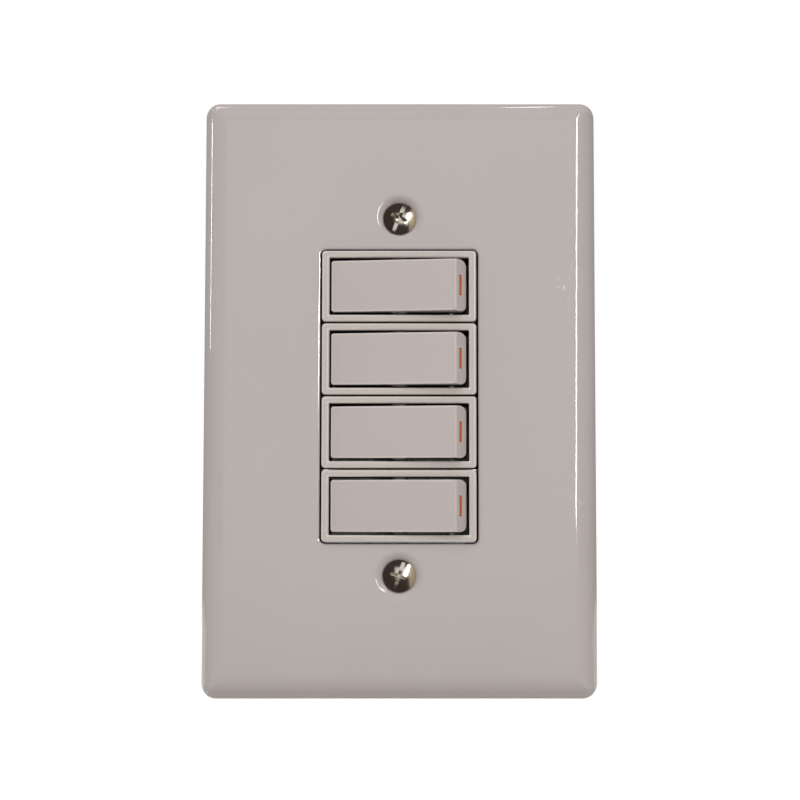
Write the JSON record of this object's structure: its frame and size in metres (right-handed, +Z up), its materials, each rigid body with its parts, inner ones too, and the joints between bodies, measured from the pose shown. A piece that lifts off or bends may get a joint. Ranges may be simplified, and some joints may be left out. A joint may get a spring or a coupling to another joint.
{
  "type": "four-gang rocker light switch",
  "caption": "Upright wall plate with a stack of rocker switches in one window, screwed to a strap for a rectangular wall box.",
  "frame": {"origin": "centre of the wall plate on the wall's surface, midway between the two box-screw slots", "axes": "+X to the right, +Z up, +Y into the wall; the room is on the -Y side"},
  "size_m": [0.079, 0.0264, 0.12],
  "materials": {
    "plate_plastic": "glossy warm grey moulding",
    "frame_plastic": "semi-gloss warm grey moulding",
    "rocker_plastic": "satin warm grey moulding",
    "base_plastic": "matt pale moulding",
    "plunger_plastic": "natural slippery moulding",
    "strap_steel": "zinc-plated pressed sheet",
    "screw_nickel": "nickel-plated",
    "spring_steel": "drawn wire",
    "terminal_brass": "pressed strip",
    "contact_silver": "silver-faced"
  },
  "bodies": {
    "housing": {"wall_plate": "plate_plastic", "mounting_strap": "strap_steel", "plate_screws": "screw_nickel", "terminal_screws": "screw_nickel", "fixed_contacts": "contact_silver", "switch_frame_1": "frame_plastic", "switch_base_1": "base_plastic", "common_terminal_1": "terminal_brass", "line_terminal_1": "terminal_brass", "switch_frame_2": "frame_plastic", "switch_base_2": "base_plastic", "common_terminal_2": "terminal_brass", "line_terminal_2": "terminal_brass", "switch_frame_3": "frame_plastic", "switch_base_3": "base_plastic", "common_terminal_3": "terminal_brass", "line_terminal_3": "terminal_brass", "switch_frame_4": "frame_plastic", "switch_base_4": "base_plastic", "common_terminal_4": "terminal_brass", "line_terminal_4": "terminal_brass"},
    "rocker_1": {"rocker_1": "rocker_plastic", "spring_1": "spring_steel"},
    "plunger_1": {"plunger_1": "plunger_plastic"},
    "contact_1": {"contact_bridge_1": "terminal_brass", "moving_contact_1": "contact_silver"},
    "rocker_2": {"rocker_2": "rocker_plastic", "spring_2": "spring_steel"},
    "plunger_2": {"plunger_2": "plunger_plastic"},
    "contact_2": {"contact_bridge_2": "terminal_brass", "moving_contact_2": "contact_silver"},
    "rocker_3": {"rocker_3": "rocker_plastic", "spring_3": "spring_steel"},
    "plunger_3": {"plunger_3": "plunger_plastic"},
    "contact_3": {"contact_bridge_3": "terminal_brass", "moving_contact_3": "contact_silver"},
    "rocker_4": {"rocker_4": "rocker_plastic", "spring_4": "spring_steel"},
    "plunger_4": {"plunger_4": "plunger_plastic"},
    "contact_4": {"contact_bridge_4": "terminal_brass", "moving_contact_4": "contact_silver"}
  },
  "joints": [
    {"name": "rocker_1_rock", "type": "hinge", "parent": "housing", "child": "rocker_1", "pos_m": [0, -0.0058, 0.0216], "axis": [0, 0, 1], "range_deg": [0, 10]},
    {"name": "plunger_1_slide", "type": "slide", "parent": "rocker_1", "child": "plunger_1", "axis": [0.0872, 0.9962, 0], "range_m": [-0.0006, 0], "stiffness_N_per_m": 600, "springref_m": 0.002, "deforming": ["spring_1"]},
    {"name": "contact_1_tilt", "type": "hinge", "parent": "housing", "child": "contact_1", "pos_m": [0, 0.007, 0.0216], "axis": [0, 0, 1], "range_deg": [-16, 0]},
    {"name": "rocker_2_rock", "type": "hinge", "parent": "housing", "child": "rocker_2", "pos_m": [0, -0.0058, 0.0072], "axis": [0, 0, 1], "range_deg": [0, 10]},
    {"name": "plunger_2_slide", "type": "slide", "parent": "rocker_2", "child": "plunger_2", "axis": [0.0872, 0.9962, 0], "range_m": [-0.0006, 0], "stiffness_N_per_m": 600, "springref_m": 0.002, "deforming": ["spring_2"]},
    {"name": "contact_2_tilt", "type": "hinge", "parent": "housing", "child": "contact_2", "pos_m": [0, 0.007, 0.0072], "axis": [0, 0, 1], "range_deg": [-16, 0]},
    {"name": "rocker_3_rock", "type": "hinge", "parent": "housing", "child": "rocker_3", "pos_m": [0, -0.0058, -0.0072], "axis": [0, 0, 1], "range_deg": [0, 10]},
    {"name": "plunger_3_slide", "type": "slide", "parent": "rocker_3", "child": "plunger_3", "axis": [0.0872, 0.9962, 0], "range_m": [-0.0006, 0], "stiffness_N_per_m": 600, "springref_m": 0.002, "deforming": ["spring_3"]},
    {"name": "contact_3_tilt", "type": "hinge", "parent": "housing", "child": "contact_3", "pos_m": [0, 0.007, -0.0072], "axis": [0, 0, 1], "range_deg": [-16, 0]},
    {"name": "rocker_4_rock", "type": "hinge", "parent": "housing", "child": "rocker_4", "pos_m": [0, -0.0058, -0.0216], "axis": [0, 0, 1], "range_deg": [0, 10]},
    {"name": "plunger_4_slide", "type": "slide", "parent": "rocker_4", "child": "plunger_4", "axis": [0.0872, 0.9962, 0], "range_m": [-0.0006, 0], "stiffness_N_per_m": 600, "springref_m": 0.002, "deforming": ["spring_4"]},
    {"name": "contact_4_tilt", "type": "hinge", "parent": "housing", "child": "contact_4", "pos_m": [0, 0.007, -0.0216], "axis": [0, 0, 1], "range_deg": [-16, 0]}
  ],
  "couplings": [
    {"joint": "contact_1_tilt", "follows": "rocker_1_rock", "ratio": -1.6},
    {"joint": "contact_2_tilt", "follows": "rocker_2_rock", "ratio": -1.6},
    {"joint": "contact_3_tilt", "follows": "rocker_3_rock", "ratio": -1.6},
    {"joint": "contact_4_tilt", "follows": "rocker_4_rock", "ratio": -1.6}
  ]
}
